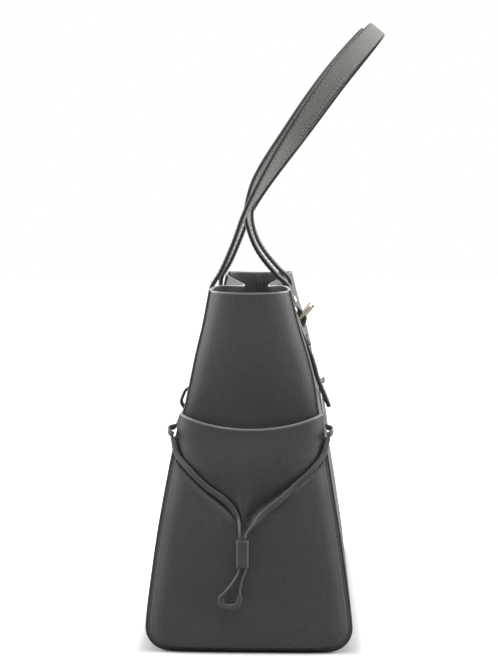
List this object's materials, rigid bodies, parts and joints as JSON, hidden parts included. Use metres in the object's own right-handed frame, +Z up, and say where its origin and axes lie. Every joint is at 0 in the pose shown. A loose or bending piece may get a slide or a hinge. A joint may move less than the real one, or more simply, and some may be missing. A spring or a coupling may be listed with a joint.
{
  "type": "leather tote bag",
  "caption": "Open-topped leather tote with two arched handles, a buckled closing belt, end slip pockets and a flat waist lace drawn in by sliders.",
  "frame": {"origin": "middle of the base, on the surface the bag stands on", "axes": "+X along the bag toward its right end, -Y out of the front face, +Z up"},
  "size_m": [0.397, 0.2104, 0.5458],
  "materials": {
    "body_leather": "fine-grained matt grey leather",
    "strap_leather": "smooth grey leather with painted edges",
    "lining_cloth": "dark cotton lining",
    "board": "grey fibre board",
    "pale_gold": "polished pale gold plating"
  },
  "bodies": {
    "bag": {"back_panel": "body_leather", "base_board": "board", "base_panel": "body_leather", "belt_keeper": "strap_leather", "buckle_chape": "strap_leather", "buckle_frame": "pale_gold", "closing_belt": "strap_leather", "front_panel": "body_leather", "gusset_left": "body_leather", "gusset_right": "body_leather", "handle_tab_back_left": "strap_leather", "handle_tab_back_right": "strap_leather", "handle_tab_front_left": "strap_leather", "handle_tab_front_right": "strap_leather", "inner_pocket": "lining_cloth", "lace_arm_left_back": "strap_leather", "lace_arm_left_front": "strap_leather", "lace_arm_right_back": "strap_leather", "lace_arm_right_front": "strap_leather", "lace_back": "strap_leather", "lace_front": "strap_leather", "lace_keeper": "strap_leather", "lining": "lining_cloth", "pocket_left": "body_leather", "pocket_right": "body_leather", "rivet_back_left": "pale_gold", "rivet_back_right": "pale_gold", "rivet_front_left": "pale_gold", "rivet_front_right": "pale_gold"},
    "back_handle": {"handle_back": "strap_leather"},
    "front_handle": {"handle_front": "strap_leather"},
    "left_slider": {"slider_left": "strap_leather", "lace_loop_left": "strap_leather"},
    "right_slider": {"slider_right": "strap_leather", "lace_loop_right": "strap_leather"},
    "prong": {"buckle_prong": "pale_gold"}
  },
  "joints": [
    {"name": "back_handle_swing", "type": "hinge", "parent": "bag", "child": "back_handle", "pos_m": [0, 0.04012, 0.291], "axis": [1, 0, 0], "range_deg": [-166, 4]},
    {"name": "front_handle_swing", "type": "hinge", "parent": "bag", "child": "front_handle", "pos_m": [0, -0.0364, 0.291], "axis": [1, 0, 0], "range_deg": [-3, 150]},
    {"name": "left_slider_slide", "type": "slide", "parent": "bag", "child": "left_slider", "axis": [0, 0, 1], "range_m": [-0.03, 0.04], "deforming": ["lace_arm_left_front", "lace_arm_left_back"]},
    {"name": "right_slider_slide", "type": "slide", "parent": "bag", "child": "right_slider", "axis": [0, 0, 1], "range_m": [-0.03, 0.04], "deforming": ["lace_arm_right_front", "lace_arm_right_back"]},
    {"name": "prong_swing", "type": "hinge", "parent": "bag", "child": "prong", "pos_m": [0, -0.04239, 0.268], "axis": [1, 0, 0], "range_deg": [0, 60]}
  ]
}
